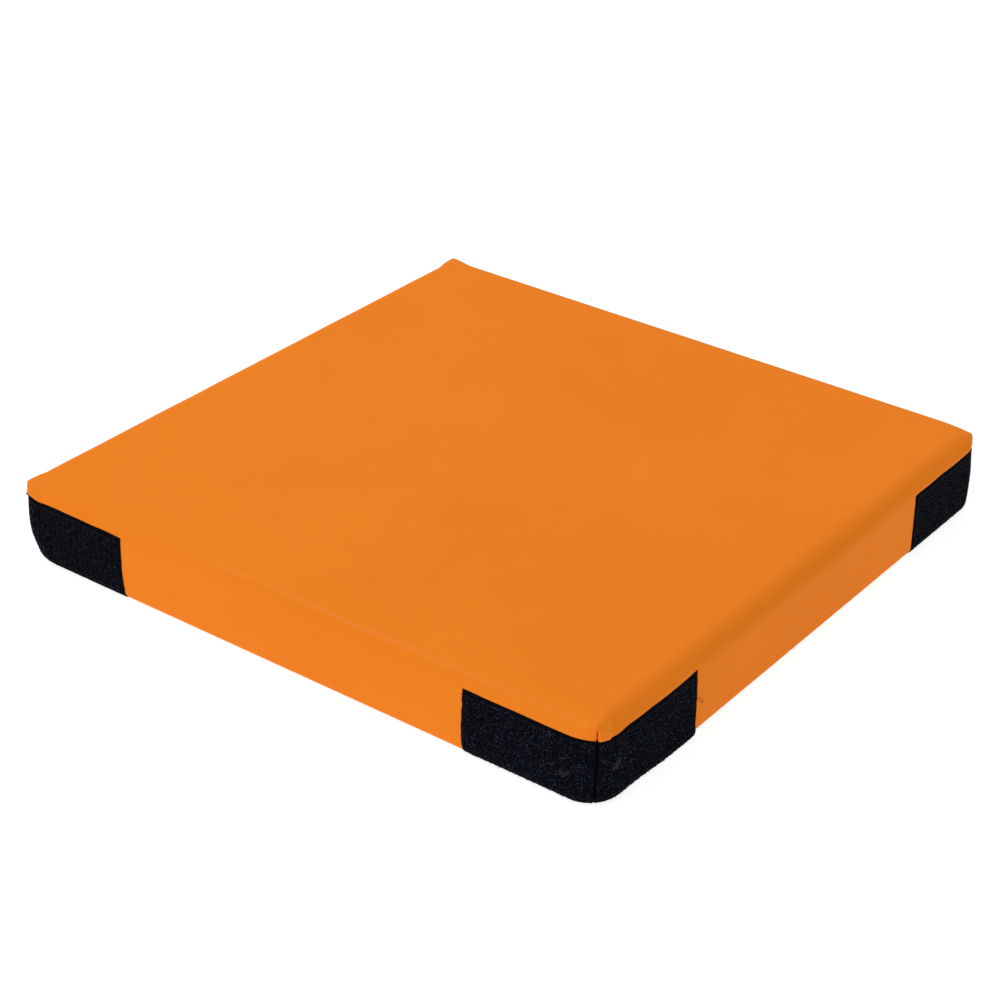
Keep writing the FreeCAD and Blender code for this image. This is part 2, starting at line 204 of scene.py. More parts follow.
def relief(wall, w, z):
    """Outward displacement of the vinyl from the plain rounded block."""
    away = HALF * (1 - np.abs(w))
    length = by_end(w, *LENGTHS[wall])
    along = np.stack([w * HALF, z + 0 * w], -1)
    belly = BELLY * (1 - w**2) * np.sin(math.pi * np.clip(z / TOP, 0, 1))
    over_tape = TAPE_BULGE * hump(z - TAPE_TOP - 3.2, 2.6) * smooth((length + 12 - away) / 24)
    ridge = EAR_RIDGE * hump(z - TOP + 4, 1.5) * smooth((26 - away) / 14) * smooth(away / 1.5)
    off_edges = smooth((TOP - z) / 8) * smooth(away / 12) * smooth(z / 14)
    uneven = UNEVEN * waves(along, 70, 11 + wall) * off_edges
    puckers = PUCKER * waves(along * (1, 0.25), 7.5, 31 + wall) * hump(z, 9)
    pressed = TAPE_PRESS * under_tape(wall, w, z)
    lean = LEANS[wall] * smooth((22 - z) / 22) * smooth(away / 30)
    raised = belly + over_tape + ridge + uneven + puckers + fold_lift(wall, w, z)
    return raised - pressed - lean - seam_groove(away, z)


def seam_groove(away, z):
    """Depth of the groove at a corner seam: deep between the tapes and shallow above them."""
    deep = deep_groove(away, z) * smooth((TAPE_TOP + 1 - z) / 3)
    shallow = SEAM_SHALLOW * hump(away, 0.8) * smooth((TOP - 1.5 - z) / 3)
    return np.maximum(deep, shallow)


def deep_groove(away, z):
    """The groove between two tapes, which fades out at the floor."""
    return SEAM_DEEP * hump(away, SEAM_WIDE) * smooth(z / 6)


def fold_lift(wall, w, z):
    """The corner's spare vinyl, folded to one side of the seam above the tapes, with a hollow beside it."""
    away = HALF * (1 + w)
    edge = FLAP + 0.7 * (z - TAPE_TOP)
    flap = smooth((edge - away) / 1.0) * smooth((away - 0.1) / 0.9)
    hollow = 0.7 * smooth((away - edge + 0.6) / 1.0) * smooth((edge + 14 - away) / 11)
    height = smooth((z - (TAPE_TOP - 0.5)) / 2.0) * smooth((TOP - 0.8 - z) / 5)
    return CORNER_SHAPES[WALLS[wall][3][0]][3] * (flap - hollow) * height


def tip_drop(x, y):
    """How far the top sinks towards each corner, where the seam draws the vinyl down."""
    drops = [[CORNER_SHAPES[f"{a}_{b}"][2] for b in ("left", "right")] for a in ("front", "rear")]
    drop = np.array(drops)[(y > 0).astype(int), (x > 0).astype(int)]
    return drop * smooth((TIP_REACH - np.hypot(HALF - np.abs(x), HALF - np.abs(y))) / (TIP_REACH - 7))


def skin(wall, w, z, out=0.0):
    """Points of the cover at w and height z, moved outward by out; arrays of x, y, z in millimetres."""
    w, z = np.broadcast_arrays(np.asarray(w, float), np.asarray(z, float))
    along, away, lean, face = outline(wall, w, z)
    turned = np.clip(BOTTOM_ROUND - z, 0, BOTTOM_ROUND) / BOTTOM_ROUND
    push = relief(wall, w, z) + out * np.sqrt(1 - turned**2) - inset(w, z)
    level = np.maximum(z - out * turned, np.minimum(z, 0.04))
    points = to_world(wall, along + lean * push, away + face * push, level)
    sinking = smooth((z - TAPE_TOP + 6) / (TOP - TAPE_TOP + 6))
    points[..., 2] -= tip_drop(points[..., 0], points[..., 1]) * sinking
    return points


def to_world(wall, along, away, z):
    _, way, normal, _ = WALLS[wall]
    return np.stack([along * way[0] + away * normal[0], along * way[1] + away * normal[1], z], -1)


def graded(fine=0.35, seam=3.5, mid=1.4, near=40.0, wide=4.2):
    """Values of w along a wall, closer together towards its ends."""
    at_seam = np.arange(0, seam, fine)
    bend = np.arange(seam, 20, mid / 2)
    beyond = np.arange(20, near, mid)
    inner = np.linspace(near, HALF, int((HALF - near) / wide))
    half = 1 - np.concatenate([at_seam, bend, beyond, inner]) / HALF
    return np.concatenate([-half, half[-2::-1]])


# ---------------------------------------------------------------- making meshes


def make_piece(name, points, faces, material, body="pad", slot=None, smooth_shade=True, pile=None):
    """A mesh piece, from points in millimetres, that rides on a body.

    A pile is a (material, count) pair for the last count faces.
    """
    mesh = bpy.data.meshes.new(name)
    mesh.from_pydata((np.asarray(points, float) * MM).tolist(), [], faces)
    mesh.update()
    if smooth_shade:
        mesh.polygons.foreach_set("use_smooth", [True] * len(mesh.polygons))
    mesh.materials.append(material)
    if pile:
        pile_material, count = pile
        mesh.materials.append(pile_material)
        mesh.polygons.foreach_set("material_index", [0] * (len(faces) - count) + [1] * count)
    piece = bpy.data.objects.new(name, mesh)
    bpy.context.scene.collection.objects.link(piece)
    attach(piece, body)
    return piece


def quads(rows, columns, start=0, closed=False):
    """Faces of a grid of rows by columns, whose last column may join its first."""
    faces = []
    last = columns if closed else columns - 1
    for row in range(rows - 1):
        low = start + row * columns
        high = low + columns
        for column in range(last):
            following = (column + 1) % columns
            faces.append((low + column, low + following, high + following, high + column))
    return faces


def slab_faces(rows, columns):
    """Faces of a thin closed slab: a grid, its turned copy whose points come next, and the rim between."""
    offset = rows * columns
    front = quads(rows, columns)
    back = [tuple(i + offset for i in face)[::-1] for face in front]
    border = list(range(columns - 1))
    border += [row * columns + columns - 1 for row in range(rows - 1)]
    border += [(rows - 1) * columns + column for column in range(columns - 1, 0, -1)]
    border += [row * columns for row in range(rows - 1, 0, -1)]
    rim = [(b, a, a + offset, b + offset) for a, b in zip(border, border[1:] + border[:1])]
    return front + back + rim


def tubes(paths, radius, sides=4):
    """Closed tubes along many paths of the same number of points: (vertices, faces)."""
    paths = np.asarray(paths, float)
    count, length = paths.shape[:2]
    ways = np.gradient(paths, axis=1)
    ways /= np.maximum(np.linalg.norm(ways, axis=2, keepdims=True), 1e-9)
    mean = ways.mean(axis=1, keepdims=True)
    helper = np.where(np.abs(mean[..., 2:]) < 0.8, [0.0, 0.0, 1.0], [1.0, 0.0, 0.0])
    first = np.cross(ways, np.broadcast_to(helper, ways.shape))
    first /= np.maximum(np.linalg.norm(first, axis=2, keepdims=True), 1e-9)
    second = np.cross(ways, first)
    turn = 2 * math.pi * np.arange(sides) / sides
    ring = np.cos(turn)[:, None] * first[:, :, None, :] + np.sin(turn)[:, None] * second[:, :, None, :]
    points = (paths[:, :, None, :] + radius * ring).reshape(-1, 3)
    faces = []
    for i in range(count):
        start = i * length * sides
        faces.extend(quads(length, sides, start, closed=True))
        faces.append(tuple(start + s for s in range(sides))[::-1])
        faces.append(tuple(start + (length - 1) * sides + s for s in range(sides)))
    return points, faces


def merge(*parts):
    """Several (vertices, faces) as one."""
    points, faces, start = [], [], 0
    for part_points, part_faces in parts:
        points.append(np.asarray(part_points, float))
        faces.extend([tuple(i + start for i in face) for face in part_faces])
        start += len(part_points)
    return np.concatenate(points), faces


# ---------------------------------------------------------------- materials


def new_material(name, color, roughness, **sockets):
    material = bpy.data.materials.new(name)
    material.use_nodes = True
    shader = material.node_tree.nodes["Principled BSDF"]
    shader.inputs["Base Color"].default_value = (*color, 1)
    shader.inputs["Roughness"].default_value = roughness
    for socket, value in sockets.items():
        shader.inputs[socket.replace("_", " ")].default_value = value
    return material, material.node_tree, shader


def place_texture(tree, texture, stretch=(1, 1, 1)):
    """Lays a texture on the piece in its own metres, stretched along the axes."""
    coordinates = tree.nodes.new("ShaderNodeTexCoord")
    mapping = tree.nodes.new("ShaderNodeMapping")
    mapping.inputs["Scale"].default_value = stretch
    tree.links.new(coordinates.outputs["Object"], mapping.inputs["Vector"])
    tree.links.new(mapping.outputs["Vector"], texture.inputs["Vector"])


def add_noise(tree, scale, detail=4.0, roughness=0.5, stretch=(1, 1, 1)):
    noise = tree.nodes.new("ShaderNodeTexNoise")
    noise.inputs["Scale"].default_value = scale
    noise.inputs["Detail"].default_value = detail
    noise.inputs["Roughness"].default_value = roughness
    place_texture(tree, noise, stretch)
    return noise.outputs["Fac"]


def add_cells(tree, scale):
    cells = tree.nodes.new("ShaderNodeTexVoronoi")
    cells.inputs["Scale"].default_value = scale
    place_texture(tree, cells)
    return cells.outputs["Distance"]


def ramp(tree, factor, stops):
    """A colour ramp; stops are (place, colour) pairs."""
    node = tree.nodes.new("ShaderNodeValToRGB")
    elements = node.color_ramp.elements
    while len(elements) < len(stops):
        elements.new(0.5)
    for element, (place, color) in zip(elements, stops):
        element.position = place
        element.color = (*color, 1)
    tree.links.new(factor, node.inputs["Fac"])
    return node.outputs["Color"]


def spread(tree, factor, low, high):
    """The factor, from 0 to 1, stretched to run from low to high."""
    node = tree.nodes.new("ShaderNodeMapRange")
    node.inputs["To Min"].default_value = low
    node.inputs["To Max"].default_value = high
    tree.links.new(factor, node.inputs["Value"])
    return node.outputs["Result"]


def bump(tree, shader, heights):
    """Chains bumps of (height, strength, distance in metres) into the shader's normal."""
    normal = None
    for height, strength, distance in heights:
        node = tree.nodes.new("ShaderNodeBump")
        node.inputs["Strength"].default_value = strength
        node.inputs["Distance"].default_value = distance
        tree.links.new(height, node.inputs["Height"])
        if normal:
            tree.links.new(normal, node.inputs["Normal"])
        normal = node.outputs["Normal"]
    tree.links.new(normal, shader.inputs["Normal"])


def vinyl_material():
    """Smooth satin vinyl: a fine shallow grain, faint creases and slightly uneven gloss."""
    material, tree, shader = new_material("vinyl_orange", (0.9, 0.229, 0.0145), 0.5)
    shader.inputs["Specular IOR Level"].default_value = 0.0
    shader.inputs["Coat Weight"].default_value = 0.08
    shader.inputs["Coat Roughness"].default_value = 0.19
    patches = add_noise(tree, 7.0, 3.0)
    tint = ramp(tree, patches, [(0.3, (0.915, 0.237, 0.0155)), (0.7, (0.890, 0.224, 0.0135))])
    tree.links.new(tint, shader.inputs["Base Color"])
    gloss = add_noise(tree, 60.0, 5.0, 0.6)
    tree.links.new(spread(tree, gloss, 0.42, 0.58), shader.inputs["Roughness"])
    grain = add_cells(tree, 1500.0)
    weave = add_noise(tree, 900.0, 2.0)
    creases = add_noise(tree, 9.0, 6.0, 0.62, (1.0, 2.2, 1.0))
    bump(tree, shader, [(creases, 0.22, 0.004), (grain, 0.35, 0.0001), (weave, 0.30, 0.0001)])
    return material


def fabric_material(name, dark, light, scale, stretch=(1, 1, 1)):
    """Dull textile with lighter speckles: fibre, and on the hook and loop piles painted sheen."""
    material, tree, shader = new_material(name, dark, 0.85)
    shader.inputs["Specular IOR Level"].default_value = 0.01
    fibres = add_noise(tree, scale, 6.0, 0.75, stretch)
    middle = tuple(0.75 * a + 0.25 * b for a, b in zip(dark, light))
    # The light stop gives lighter fibre, and on the hook and loop piles a painted sheen of the filaments.
    tint = ramp(tree, fibres, [(0.50, dark), (0.55, middle), (0.61, light)])
    tree.links.new(tint, shader.inputs["Base Color"])
    bump(tree, shader, [(fibres, 0.6, 0.0003)])
    return material


def thread_material(name, color):
    material, tree, shader = new_material(name, color, 0.6)
    shader.inputs["Specular IOR Level"].default_value = 0.15
    twist = add_noise(tree, 1800.0, 2.0, 0.5, (1, 1, 3))
    tint = ramp(tree, twist, [(0.35, tuple(c * 0.7 for c in color)), (0.65, color)])
    tree.links.new(tint, shader.inputs["Base Color"])
    bump(tree, shader, [(twist, 0.4, 0.0001)])
    return material


def metal_material():
    """Dark lacquered zinc with worn, brighter patches."""
    material, tree, shader = new_material("lacquered_zinc", (0.03, 0.03, 0.032), 0.32, Metallic=0.9)
    wear = add_noise(tree, 900.0, 4.0)
    tint = ramp(tree, wear, [(0.5, (0.045, 0.045, 0.048)), (0.8, (0.10, 0.10, 0.105))])
    tree.links.new(tint, shader.inputs["Base Color"])
    tree.links.new(spread(tree, wear, 0.25, 0.45), shader.inputs["Roughness"])
    return material


def nylon_material():
    material, tree, shader = new_material("nylon_coil", (0.012, 0.012, 0.014), 0.34)
    streaks = add_noise(tree, 700.0, 2.0)
    tree.links.new(spread(tree, streaks, 0.28, 0.42), shader.inputs["Roughness"])
    return material


def foam_material():
    material, tree, shader = new_material("open_cell_foam", (0.72, 0.68, 0.55), 0.9)
    cells = add_cells(tree, 900.0)
    tint = ramp(tree, cells, [(0.1, (0.5, 0.46, 0.36)), (0.5, (0.76, 0.72, 0.6))])
    tree.links.new(tint, shader.inputs["Base Color"])
    bump(tree, shader, [(cells, 0.6, 0.0006)])
    return material


def grip_material():
    material, tree, shader = new_material("grip_rubber", (0.016, 0.016, 0.018), 0.6)
    dust = add_noise(tree, 200.0, 4.0)
    tint = ramp(tree, dust, [(0.4, (0.014, 0.014, 0.016)), (0.7, (0.035, 0.035, 0.037))])
    tree.links.new(tint, shader.inputs["Base Color"])
    return material


VINYL_SKIN = vinyl_material()
TAPE_CLOTH = fabric_material("tape_cloth", (0.0014, 0.0018, 0.0030), (0.016, 0.018, 0.026), 900.0)
# The hook and loop piles: dark pile, with bright bluish speckles of painted sheen on the filaments.
HOOK_PILE_AND_SHEEN = fabric_material("hook_pile", (0.0072, 0.0098, 0.0155), (0.190, 0.230, 0.340), 850.0)
LOOP_PILE_AND_SHEEN = fabric_material("loop_pile", (0.0056, 0.0076, 0.0120), (0.165, 0.200, 0.295), 900.0)
BASE_CLOTH = fabric_material("base_cloth", (0.010, 0.010, 0.011), (0.028, 0.028, 0.03), 1100.0)
ZIP_CLOTH = fabric_material("zip_cloth", (0.006, 0.006, 0.007), (0.02, 0.02, 0.022), 1500.0, (1, 3, 1))
BLACK_THREAD = thread_material("black_thread", (0.004, 0.0045, 0.0065))
ORANGE_THREAD = thread_material("orange_thread", (0.62, 0.14, 0.01))
PALE_FIBRE = thread_material("pale_fibre", (0.17, 0.18, 0.21))
METAL = metal_material()
NYLON = nylon_material()
FOAM = foam_material()
GRIP = grip_material()


# ---------------------------------------------------------------- the pieces


def ring_rows(w):
    """Heights of the cover's rows, from its hem inside the base seam up to the top's edge."""
    edge = edge_round(w)
    flat = np.zeros_like(w)
    rows = []
    for turned in np.linspace(0, math.pi / 2, 7):
        rows.append(HEM_LOW + BOTTOM_ROUND * (1 - math.cos(turned)) + flat)
    start = TAPE_TOP - 1.5
    foot = BOTTOM_ROUND + HEM_LOW
    for share in (0.08, 0.2, 0.35, 0.5, 0.65, 0.8, 0.93, 1.0):
        rows.append(foot + share * (start - foot) + flat)
    shoulder = TOP - edge
    straight = np.maximum(shoulder - start, 0)
    begun = np.arcsin(np.clip((start - shoulder) / edge, 0, 1))
    length = straight + edge * (math.pi / 2 - begun)
    for share in np.linspace(0, 1, EDGE_ROWS + 1)[1:]:
        along = share * length
        turned = begun + np.maximum(along - straight, 0) / edge
        rows.append(np.where(along < straight, start + along, shoulder + edge * np.sin(turned)))
    return rows


def cover_ring(w, z):
    """One closed ring of the cover, all four walls, without repeating the corner seams."""
    return np.concatenate([skin(wall, w[:-1], z[:-1]) for wall in range(4)])


def top_height(x, y):
    """Height of the top: a slight crown, faint undulations, and corners that are drawn down a little."""
    away = np.clip(np.maximum(np.abs(x), np.abs(y)) / (HALF - EDGE_ROUND), 0, 1)
    across, along = (1 - np.clip(np.abs(at) / HALF, 0, 1) ** CROWN_POWER for at in (x, y))
    crown = CROWN * across * along
    place = np.stack([x, y], -1)
    uneven = 0.16 * waves(place, 120, 5) + 0.07 * waves(place, 38, 6)
    return crown + uneven * smooth((1 - away) / 0.2) - tip_drop(x, y)


def make_cover():
    w = graded()
    per_wall = len(w) - 1
    rings = [hem_ring(w, 1.0, -0.12), hem_ring(w, 0.45, -0.08)]
    rings += [cover_ring(w, z) for z in ring_rows(w)]
    edge = rings[-1]
    edge[:, 2] = TOP + top_height(edge[:, 0], edge[:, 1])
    rings += top_rings(edge)
    inner_levels = (1.0, 2.2, BOTTOM_ROUND + 1, 25.0, 46.0, 53.0, 58.0, TOP - 0.95)
    inner_rows = [shell_ring(w, z) for z in inner_levels]
    count = 4 * per_wall
    points = np.concatenate(rings + inner_rows)
    faces = quads(len(rings), count, closed=True)
    inner = len(rings) * count
    faces.append(tuple(inner - count + i for i in range(count)))
    for face in quads(len(inner_rows), count, inner, closed=True):
        faces.append(face[::-1])
    faces.append(tuple(inner + (len(inner_rows) - 1) * count + i for i in range(count))[::-1])
    for i in range(count):
        following = (i + 1) % count
        faces.append((inner + i, inner + following, following, i))
    cover = make_piece("vinyl_cover_skin", points, faces, VINYL_SKIN, slot="vinyl")
    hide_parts("vinyl_cover")


def hem_ring(w, z, extra):
    """A ring inside the base seam, turned up from the end of the bottom rounding."""
    rows = []
    for wall in range(4):
        along, away, lean, face = outline(wall, w[:-1], 0 * w[:-1])
        push = extra - BOTTOM_ROUND - LEANS[wall] * smooth(HALF * (1 - np.abs(w[:-1])) / 30)
        rows.append(to_world(wall, along + lean * push, away + face * push, z + 0 * along))
    return np.concatenate(rows)


def shell_ring(w, z):
    """A ring of the vinyl's inner face."""
    rows = []
    for wall in range(4):
        at = w[:-1]
        height = np.full_like(at, z)
        along, away, lean, face = outline(wall, at, height)
        push = -np.maximum(inset(at, np.minimum(height, TOP - 1.2)), 0) - VINYL - TAPE_PRESS - 0.1
        push = np.minimum(push, -BOTTOM_ROUND - 0.1) if z < 1.1 else push
        push = push - (SEAM_DEEP + 0.2) * hump(HALF * (1 - np.abs(at)), 2.2)
        rows.append(to_world(wall, along + lean * push, away + face * push, height))
    return sink_corners(np.concatenate(rows))


def sink_corners(ring):
    """Lowers a ring inside the cover where the corners are drawn down."""
    ring[:, 2] -= 1.3 * tip_drop(ring[:, 0], ring[:, 1]) * smooth((ring[:, 2] - 40) / 15)
    return ring


def top_rings(edge):
    """Rings inside the top's edge, each a smaller copy of it laid on the crowned top."""
    near_edge = 1 - np.arange(1, 24) * 1.3 / HALF
    rings = []
    for share in np.concatenate([near_edge, np.linspace(near_edge[-1], 0.004, 48)[1:]]):
        ring = edge * (share, share, 0)
        ring[:, 2] = TOP + top_height(ring[:, 0], ring[:, 1])
        rings.append(ring)
    return rings


def tape_frame(wall, end, distance, z, out):
    """Points on a tape: distance from the corner seam, height, and how far out of the vinyl."""
    w = (distance / HALF - 1) if end == 0 else (1 - distance / HALF)
    loose = LOOSE_FOOT if (wall, end) == LOOSE_TAPE else 0
    return skin(wall, w, z, out + loose * smooth((distance - 35) / 50) * smooth((9 - z) / 8))


# Thickness of a tape's strip in its middle, at its selvedge and at its rim, and where its pile is rooted.
STRIP = 0.75
SELVEDGE = 0.45
STRIP_RIM = 0.12
PILE_ROOT = 0.85


def tape_strip(wall, end, length, seed):
    """The woven strip: a thin closed solid with soft selvedges, turned into the seam at the corner."""
    at_seam, bend, flat = np.arange(0.02, 2.4, 0.3), np.arange(2.4, 24, 1.1), np.linspace(24, length, 66)
    columns = np.concatenate([at_seam, bend, flat])
    low, high = HEM_LOW, TAPE_TOP
    rows = np.concatenate([[low, 0.4, 0.8, 1.4, 2.2, 3.0], np.linspace(4, high - 2.6, 34)])
    rows = np.concatenate([rows, [high - 2.1, high - 1.7, high - 1.1, high - 0.5, high - 0.12, high]])
    distance, level = np.meshgrid(columns, rows)
    rim = np.minimum(smooth((high - level) / 0.5), smooth((length - distance) / 0.5))
    selvedge = smooth((high - 1.9 - level) / 0.5)
    body = SELVEDGE + (STRIP - SELVEDGE) * selvedge
    thick = STRIP_RIM + (body - STRIP_RIM) * rim
    dive = TAPE_DIVE * hump(distance, 0.8) * smooth((level + 1) / 9)
    weave = 0.05 * np.sin(distance * 2 * math.pi / 1.6) * np.sin(level * 2 * math.pi / 1.3) * selvedge
    wobble = 0.08 * waves(np.stack([level, level * 0], -1), 9, seed)
    ends = distance + wobble * smooth((distance - length + 12) / 12)
    bow = 0.3 * waves(np.stack([distance, distance * 0], -1), 35, seed + 1) * smooth((level - 30) / 20)
    # The strip passes over the groove that the vinyl makes at the corner seam.
    base = deep_groove(distance, level) - dive
    outer = tape_frame(wall, end, ends, level + bow, base + TAPE_PRESS - 0.35 + thick + weave)
    inner = tape_frame(wall, end, ends, level + bow, base - 0.05)
    points = np.concatenate([outer.reshape(-1, 3), inner.reshape(-1, 3)])
    faces = slab_faces(*distance.shape)
    if end == 1:
        faces = [face[::-1] for face in faces]
    return points, faces


def hook_pile(wall, end, length, seed):
    """Rows of small bent hooks across the tape."""
    rng = np.random.default_rng(seed)
    places = []
    step, rise = 1.25, 1.5
    for column, distance in enumerate(np.arange(3.0, length - 1.0, step)):
        if column % 4 == 3:
            continue
        for level in np.arange(3.0, TAPE_TOP - 3.0, rise):
            places.append((distance, level + (column % 2) * rise / 2))
    places = np.array(places) + rng.uniform(-0.18, 0.18, (len(places), 2))
    turn = np.where(rng.random(len(places)) < 0.5, 1, -1) * rng.uniform(0.25, 0.5, len(places))
    tall = rng.uniform(0.55, 0.8, len(places))
    paths = []
    for up, over in ((-0.1, 0.0), (0.45, 0.05), (0.85, 0.55), (0.7, 1.1)):
        across, level = places[:, 0] + over * turn, places[:, 1] - 0.15 * over
        paths.append(tape_frame(wall, end, across, level, PILE_ROOT + up * tall))
    return tubes(np.stack(paths, axis=1), 0.11, sides=4)


def loop_pile(wall, end, length, seed):
    """A dense felt of small loops lying all ways."""
    rng = np.random.default_rng(seed)
    count = int(length * TAPE_TOP * 0.45)
    distance = rng.uniform(1.5, length - 0.8, count)
    level = rng.uniform(1.5, TAPE_TOP - 2.2, count)
    turn = rng.uniform(0, 2 * math.pi, count)
    reach = rng.uniform(0.5, 1.3, count)
    tall = rng.uniform(0.35, 0.75, count)
    paths = []
    for share, up in ((-1, -0.2), (-0.7, 0.6), (0, 1.0), (0.7, 0.6), (1, -0.2)):
        bend = 0.35 * (1 - share**2)
        across = distance + reach * (share * np.cos(turn) - bend * np.sin(turn))
        along = level + reach * (share * np.sin(turn) + bend * np.cos(turn))
        paths.append(tape_frame(wall, end, across, along, PILE_ROOT + up * tall))
    return tubes(np.stack(paths, axis=1), 0.085, sides=3)


def stitch_paths(places, normals, height, sink):
    """Short arched stitches between neighbouring places on a line."""
    starts, stops = places[:-1], places[1:]
    up = normals[:-1]
    paths = []
    shoulder = 0.6 * height
    arch = ((0.06, -sink), (0.18, shoulder), (0.5, height), (0.82, shoulder), (0.94, -sink))
    for share, lift in arch:
        paths.append(starts + (stops - starts) * share + up * lift)
    return np.stack(paths, axis=1)


def make_tapes():
    for wall, (name, _, _, corners) in enumerate(WALLS):
        for end, corner in enumerate(corners):
            kind, length = KINDS[corner], LENGTHS[wall][end]
            node = f"{kind}_tape_{corner}_{name}_face"
            seed = 100 + wall * 10 + end
            strip = tape_strip(wall, end, length, seed)
            pile = hook_pile if kind == "hook" else loop_pile
            tufts = pile(wall, end, length, seed)
            points, faces = merge(strip, tufts)
            look = (HOOK_PILE_AND_SHEEN if kind == "hook" else LOOP_PILE_AND_SHEEN, len(tufts[1]))
            tape = make_piece(f"{node}_strip", points, faces, TAPE_CLOTH, slot=f"{kind}_tape", pile=look)
            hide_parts(node)
            make_tape_stitches(wall, end, length, f"stitching_{corner}_{name}_face")


def make_tape_stitches(wall, end, length, node):
    """Two lines of lock stitch along the tape and one down its cut end."""
    near, far, low, high = 3.0, length - 4.5, 5.5, TAPE_TOP - 3.2
    corners = [(near, low), (far, low), (far, high), (near, high)]
    places = []
    for (x0, z0), (x1, z1) in zip(corners[:-1], corners[1:]):
        steps = max(int(math.hypot(x1 - x0, z1 - z0) / 3.0), 1)
        for i in range(steps):
            places.append((x0 + (x1 - x0) * i / steps, z0 + (z1 - z0) * i / steps))
    places.append(corners[-1])
    places = np.array(places)
    inner = tape_frame(wall, end, places[:, 0], places[:, 1], 0.75)
    outer = tape_frame(wall, end, places[:, 0], places[:, 1], 1.75)
    paths = stitch_paths(inner, outer - inner, 0.42, 0.35)
    points, faces = tubes(paths, 0.27, sides=6)
    thread = make_piece(f"{node}_stitches", points, faces, BLACK_THREAD, slot="black_thread")
    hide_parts(node)


def make_corner_seams():
    """The thread that closes each corner, deep between its two tapes."""
    for wall, (_, _, _, corners) in enumerate(WALLS):
        node = f"corner_seam_{corners[0]}"
        levels = np.arange(5, TAPE_TOP + 7, 3.2)
        sunk = OPEN_SEAM if CORNER_SHAPES[corners[0]][3] > 1 else CLOSED_SEAM
        inner = skin(wall, -1 + 0 * levels, levels, -sunk)
        outer = skin(wall, -1 + 0 * levels, levels, 1 - sunk)
        points, faces = tubes(stitch_paths(inner, outer - inner, 0.25, 0.3), 0.3, sides=6)
        thread = make_piece(f"{node}_stitches", points, faces, BLACK_THREAD, slot="black_thread")
        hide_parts(node)


def make_base_seam():
    """Small stitches all round, between the vinyl's hem and the base panel."""
    w = np.linspace(-1, 1, 121)
    line = hem_ring(w, 0.42, -0.42)
    line = np.concatenate([line, line[:1]])
    up = np.zeros_like(line)
    up[:, 2] = -1
    points, faces = tubes(stitch_paths(line, up, 0.12, 0.25), 0.22, sides=5)
    thread = make_piece("base_seam_stitches", points, faces, ORANGE_THREAD, slot="orange_thread")
    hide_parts("base_seam_thread")


# Tufts of pulled fibre: wall, end, middle and spread as (distance along the tape, height), and how many.
TUFTS = (
    (0, 1, (22, 26), (10, 5), 10),
    (1, 0, (15, 27), (4, 4), 8),
)


def make_pulled_fibres():
    """Pale fibres pulled out of the front right corner's tapes by use."""
    rng = np.random.default_rng(77)
    share = np.linspace(0, 1, 6)
    arch = np.sin(share * math.pi)
    paths = []
    for wall, end, middle, spread_over, count in TUFTS:
        for _ in range(count):
            at, level = rng.normal(middle, spread_over)
            turn = rng.uniform(0.2, 0.9) * (1 if end else -1)
            bend = rng.uniform(-1.5, 1.5)
            reach = rng.uniform(3.5, 9.0)
            distance = np.clip(at + reach * share * math.cos(turn), 1, 95)
            height = level - reach * share * math.sin(turn) + bend * arch
            paths.append(tape_frame(wall, end, distance, height, 1.25 + 1.1 * arch))
    points, faces = tubes(np.stack(paths), 0.05, sides=4)
    make_piece("pulled_fibres", points, faces, PALE_FIBRE, slot="loop_tape")


def make_loose_thread():
    """A loose end of thread that hangs from the cut end of the right wall's first tape."""
    share = np.linspace(0, 1, 12)
    distance = LENGTHS[1][0] - 0.5 + 6.5 * share
    height = 29 - 5 * share + 1.5 * np.sin(share * 7)
    path = tape_frame(1, 0, distance, height, 0.9 + 0.9 * np.sin(share * math.pi))
    make_piece("loose_thread", *tubes(path[None], 0.16, sides=6), BLACK_THREAD, slot="black_thread")


# Half the width and half the length of the zip's slot in the base panel.
SLOT_WIDE = 8.0
SLOT_LONG = 226.0
# The height of the zip's tapes at the coil, and their thickness.
WEB_LOW = 4.35
WEB = 0.4


def panel_outline(inset_by, w):
    rows = []
    for wall in range(4):
        along, away, lean, face = outline(wall, w[:-1], 0 * w[:-1])
        push = -BOTTOM_ROUND - PANEL_GAP - LEANS[wall] * smooth(HALF * (1 - np.abs(w[:-1])) / 30) - inset_by
        rows.append(to_world(wall, along + lean * push, away + face * push, 0 * along))
    return np.concatenate(rows)


def make_base():
    """The base panel with its folded slot edges, and the grip dots printed on it."""
    w = graded(fine=1.0, seam=3.0, mid=3.0, near=36.0, wide=12.0)
    count = 4 * (len(w) - 1)
    ring = panel_outline(0, w)
    slot = slot_ring(ring, 0.0)
    lip = slot_ring(ring, -2.2)
    rim, rounded = panel_outline(1.0, w), panel_outline(0.15, w)
    under, over = 0.35, 1.0
    underside = [(ring, 0.8), (rounded, 0.42), (rim, under), (between(ring, slot, 0.45), under)]
    mouth = [(between(ring, slot, 0.85), under), (lip, under), (between(lip, slot, 0.6), 0.24)]
    folded = [(slot, 0.5), (slot, 1.25), (lip, 1.3)]
    upper = [(between(ring, slot, 0.8), over), (rim, over)]
    loops = []
    for plan, z in underside + mouth + folded + upper:
        loops.append(np.column_stack([plan[:, 0], plan[:, 1], np.full(count, z)]))
    points = np.concatenate(loops)
    faces = [face[::-1] for face in quads(len(loops), count, closed=True)]
    last = (len(loops) - 1) * count
    for i in range(count):
        following = (i + 1) % count
        faces.append((i, following, last + following, last + i))
    panel = make_piece(
        "base_panel_cloth", points, faces, BASE_CLOTH, slot="base_fabric", smooth_shade=False
    )
    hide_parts("base_panel")
    make_grip_dots()


def between(first, second, share):
    """A ring that lies a share of the way from the first ring to the second."""
    return first * (1 - share) + second * share


